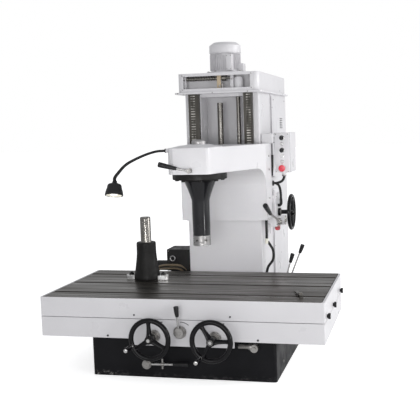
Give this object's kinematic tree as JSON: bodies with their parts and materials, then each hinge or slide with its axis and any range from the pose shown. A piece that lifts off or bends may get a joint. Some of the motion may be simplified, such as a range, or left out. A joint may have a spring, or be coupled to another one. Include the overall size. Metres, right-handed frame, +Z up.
{
  "type": "vertical boring and milling machine",
  "caption": "Vertical boring and milling machine: slotted table on saddle and bed, column, sliding headstock with long black spindle sleeve, top motor, handwheels, levers, control box.",
  "frame": {"origin": "on the floor, middle of the bed's footprint", "axes": "+X to the operator's right along the table, +Y from the operator towards the column, +Z up"},
  "size_m": [1.536, 1.921, 1.791],
  "materials": {
    "paint": "semi-gloss light grey enamel",
    "bed_black": "semi-gloss black enamel on cast iron",
    "ground_steel": "ground and oiled",
    "way_iron": "scraped and oiled",
    "bright_steel": "turned and polished",
    "grey_steel": "turned",
    "bronze": "turned",
    "sleeve_black": "gloss black",
    "wheel_black": "polished black",
    "red_plastic": "gloss",
    "black_plastic": "satin",
    "hose_black": "ribbed matt",
    "panel_grey": "satin",
    "sight_glass": "clear, tinted by the oil"
  },
  "bodies": {
    "frame": {"base_bed": "bed_black", "lever_posts": "bed_black", "bed_ways": "way_iron", "cross_feed_nut": "bronze", "column_casting": "paint", "guideways": "way_iron", "top_cap": "paint", "cap_oil_pump": "paint", "motor_body": "paint", "motor_fan_cover": "paint", "electrical_cabinet": "paint", "contactor_panel": "panel_grey", "rear_feed_motor": "bed_black", "coolant_union": "grey_steel"},
    "layshaft": {"cap_layshaft": "way_iron"},
    "rotor": {"motor_rotor": "grey_steel"},
    "lift_screw": {"elevating_screw": "bright_steel"},
    "splined_shaft": {"spline_shaft": "bright_steel"},
    "door": {"cabinet_door": "paint"},
    "bed_clamp": {"clamp_lever": "grey_steel"},
    "rear_lever_a": {"rear_lever_short": "grey_steel"},
    "rear_lever_b": {"rear_lever_long": "grey_steel"},
    "saddle": {"saddle_casting": "paint", "feed_dials": "grey_steel"},
    "feed_lever": {"front_lever": "grey_steel"},
    "table_wheel": {"table_handwheel": "wheel_black", "table_pinion_shaft": "bright_steel"},
    "table_grip": {"table_wheel_handle": "wheel_black"},
    "cross_wheel": {"cross_handwheel": "wheel_black", "cross_feed_screw": "bright_steel"},
    "cross_grip": {"cross_wheel_handle": "wheel_black"},
    "table": {"table_top": "ground_steel", "table_skirt": "paint", "end_cover_knobs": "black_plastic", "table_rack": "grey_steel", "loose_key": "bright_steel", "arbor_flange": "bright_steel", "arbor_body": "sleeve_black"},
    "spare_bar": {"arbor_bar": "bright_steel"},
    "headstock": {"headstock_casting": "paint", "way_cover": "paint", "spindle_top_cap": "bright_steel", "spindle_sleeve": "sleeve_black", "spindle_bearings": "grey_steel", "elevating_nut": "bronze", "feed_gearbox": "paint", "oil_sight": "sight_glass", "control_box": "paint", "conduits": "hose_black", "lamp_neck": "hose_black", "lamp_head": "black_plastic", "hanging_hose": "hose_black"},
    "spindle": {"spindle": "bright_steel"},
    "speed_lever": {"nose_lever": "grey_steel"},
    "lift_wheel": {"side_handwheel": "wheel_black"},
    "gear_lever": {"side_lever": "grey_steel"},
    "switch_upper": {"rotary_knob_upper": "black_plastic"},
    "switch_lower": {"rotary_knob_lower": "black_plastic"},
    "start": {"start_button": "bright_steel"},
    "stop": {"emergency_stop": "red_plastic"}
  },
  "joints": [
    {"name": "headstock_slide", "type": "slide", "parent": "frame", "child": "headstock", "axis": [0, 0, 1], "range_m": [-0.18, 0.2], "deforming": ["hanging_hose"]},
    {"name": "saddle_slide", "type": "slide", "parent": "frame", "child": "saddle", "axis": [0, 1, 0], "range_m": [-0.15, 0.05]},
    {"name": "table_slide", "type": "slide", "parent": "saddle", "child": "table", "axis": [1, 0, 0], "range_m": [-0.25, 0.2]},
    {"name": "motor_spin", "type": "hinge", "parent": "frame", "child": "rotor", "pos_m": [0.05, 0.07, 1.65], "axis": [0, 0, 1], "continuous": true},
    {"name": "layshaft_spin", "type": "hinge", "parent": "frame", "child": "layshaft", "pos_m": [0, -0.088, 1.573], "axis": [1, 0, 0], "continuous": true},
    {"name": "splined_shaft_spin", "type": "hinge", "parent": "frame", "child": "splined_shaft", "pos_m": [0.136, 0.015, 0.9], "axis": [0, 0, 1], "continuous": true},
    {"name": "lift_screw_spin", "type": "hinge", "parent": "frame", "child": "lift_screw", "pos_m": [0.022, 0.015, 0.9], "axis": [0, 0, 1], "range_deg": [-1780, 1780]},
    {"name": "door_hinge", "type": "hinge", "parent": "frame", "child": "door", "pos_m": [-0.176, 0.818, 0.86], "axis": [0, 0, 1], "range_deg": [0, 110]},
    {"name": "bed_clamp_turn", "type": "hinge", "parent": "frame", "child": "bed_clamp", "pos_m": [-0.18, -0.87, 0.08], "axis": [0, 1, 0], "range_deg": [-20, 12]},
    {"name": "rear_lever_short_turn", "type": "hinge", "parent": "frame", "child": "rear_lever_a", "pos_m": [0.323, 0.4, 0.258], "axis": [0, 1, 0], "range_deg": [-12, 12]},
    {"name": "rear_lever_long_turn", "type": "hinge", "parent": "frame", "child": "rear_lever_b", "pos_m": [0.34, 0.47, 0.254], "axis": [0, 1, 0], "range_deg": [-12, 12]},
    {"name": "feed_lever_turn", "type": "hinge", "parent": "saddle", "child": "feed_lever", "pos_m": [0.014, -0.915, 0.262], "axis": [0, 1, 0], "range_deg": [-25, 25]},
    {"name": "table_wheel_turn", "type": "hinge", "parent": "saddle", "child": "table_wheel", "pos_m": [-0.124, -0.9, 0.238], "axis": [0, 1, 0], "range_deg": [-445, 445]},
    {"name": "table_grip_spin", "type": "hinge", "parent": "table_wheel", "child": "table_grip", "pos_m": [-0.21609, -0.975, 0.20448], "axis": [0, 1, 0], "continuous": true},
    {"name": "cross_wheel_turn", "type": "hinge", "parent": "saddle", "child": "cross_wheel", "pos_m": [0.196, -0.9, 0.238], "axis": [0, 1, 0], "range_deg": [-705, 705]},
    {"name": "cross_grip_spin", "type": "hinge", "parent": "cross_wheel", "child": "cross_grip", "pos_m": [0.1412, -0.975, 0.15675], "axis": [0, 1, 0], "continuous": true},
    {"name": "spare_bar_spin", "type": "hinge", "parent": "table", "child": "spare_bar", "pos_m": [-0.338, -0.385, 0.6], "axis": [0, 0, 1], "continuous": true},
    {"name": "spindle_spin", "type": "hinge", "parent": "headstock", "child": "spindle", "pos_m": [0.05, -0.57, 0.8], "axis": [0, 0, 1], "continuous": true},
    {"name": "speed_lever_turn", "type": "hinge", "parent": "headstock", "child": "speed_lever", "pos_m": [0.042, -0.73, 1.068], "axis": [0, 1, 0], "range_deg": [-20, 30]},
    {"name": "lift_wheel_turn", "type": "hinge", "parent": "headstock", "child": "lift_wheel", "pos_m": [0.4, 0.11, 0.759], "axis": [1, 0, 0], "range_deg": [-475, 475]},
    {"name": "gear_lever_turn", "type": "hinge", "parent": "headstock", "child": "gear_lever", "pos_m": [0.356, 0.09, 0.7], "axis": [1, 0, 0], "range_deg": [-8, 30]},
    {"name": "switch_upper_turn", "type": "hinge", "parent": "headstock", "child": "switch_upper", "pos_m": [0.388, 0.04, 1.212], "axis": [0, 1, 0], "range_deg": [-45, 45]},
    {"name": "switch_lower_turn", "type": "hinge", "parent": "headstock", "child": "switch_lower", "pos_m": [0.388, 0.04, 1.138], "axis": [0, 1, 0], "range_deg": [-45, 45]},
    {"name": "start_press", "type": "slide", "parent": "headstock", "child": "start", "axis": [0, 1, 0], "range_m": [0, 0.0035], "stiffness_N_per_m": 600},
    {"name": "stop_press", "type": "slide", "parent": "headstock", "child": "stop", "axis": [0, 1, 0], "range_m": [0, 0.006], "stiffness_N_per_m": 800}
  ],
  "couplings": [
    {"joint": "lift_screw_spin", "follows": "headstock_slide", "rad_per_m": -150},
    {"joint": "lift_wheel_turn", "follows": "headstock_slide", "rad_per_m": 40},
    {"joint": "table_wheel_turn", "follows": "table_slide", "rad_per_m": 29.851},
    {"joint": "cross_wheel_turn", "follows": "saddle_slide", "rad_per_m": 80},
    {"joint": "splined_shaft_spin", "follows": "motor_spin", "ratio": -1.3272},
    {"joint": "layshaft_spin", "follows": "motor_spin", "ratio": 0.5},
    {"joint": "spindle_spin", "follows": "motor_spin", "ratio": 0.4}
  ]
}
